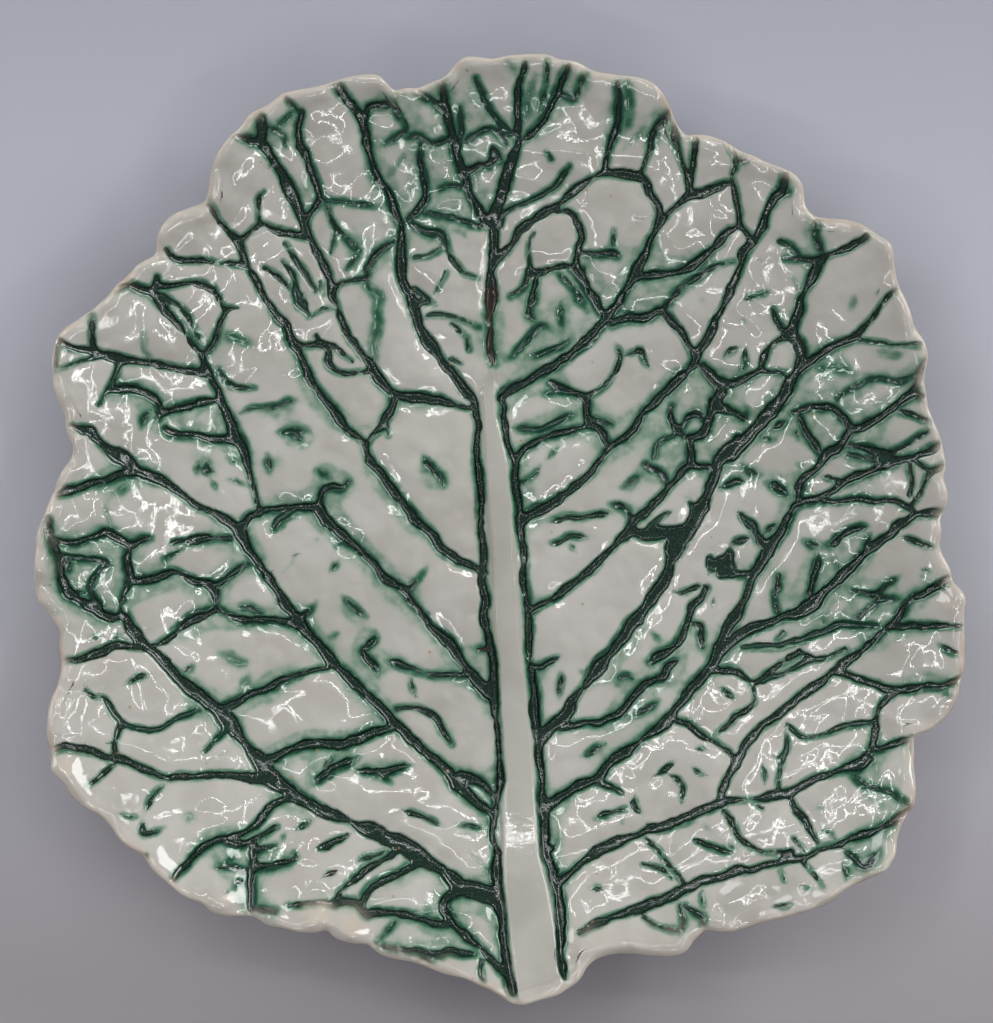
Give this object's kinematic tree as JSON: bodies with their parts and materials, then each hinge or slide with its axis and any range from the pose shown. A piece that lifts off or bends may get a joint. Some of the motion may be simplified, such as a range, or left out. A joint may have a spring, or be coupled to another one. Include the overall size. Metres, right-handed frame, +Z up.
{
  "type": "leaf dish",
  "caption": "Shallow glazed dish pressed from a cabbage leaf: wavy rim, raised midrib, sunken veins with dark pooled glaze, and a foot ring below.",
  "frame": {"origin": "middle of the dish's bounding box in X and Y, at the tread of the foot ring", "axes": "+Z up out of the dish's face, +Y from the stalk end to the leaf's tip, +X to the right when looking down on the face with the tip ahead"},
  "size_m": [0.3426, 0.35, 0.0473],
  "materials": {
    "pale_glaze": "pale warm grey gloss glaze, washed with soft green beside the veins",
    "rib_glaze": "pale gloss glaze over a smooth rib",
    "foot_glaze": "thin cream gloss glaze over buff clay",
    "pooled_glaze": "dark green gloss glaze pooled thick in the veins"
  },
  "bodies": {
    "root": {"leaf_body": "pale_glaze", "midrib": "rib_glaze", "foot_ring": "foot_glaze", "midrib_glaze_left": "pooled_glaze", "midrib_glaze_right": "pooled_glaze", "vein_glaze_middle": "pooled_glaze", "vein_glaze_left_1": "pooled_glaze", "vein_glaze_left_2": "pooled_glaze", "vein_glaze_left_3": "pooled_glaze", "vein_glaze_left_4": "pooled_glaze", "vein_glaze_left_5": "pooled_glaze", "vein_glaze_left_6": "pooled_glaze", "vein_glaze_left_7": "pooled_glaze", "vein_glaze_left_8": "pooled_glaze", "vein_glaze_left_9": "pooled_glaze", "vein_glaze_right_1": "pooled_glaze", "vein_glaze_right_2": "pooled_glaze", "vein_glaze_right_3": "pooled_glaze", "vein_glaze_right_4": "pooled_glaze", "vein_glaze_right_5": "pooled_glaze", "vein_glaze_right_6": "pooled_glaze", "vein_glaze_right_7": "pooled_glaze", "vein_glaze_right_8": "pooled_glaze", "vein_glaze_right_9": "pooled_glaze"}
  },
  "joints": []
}
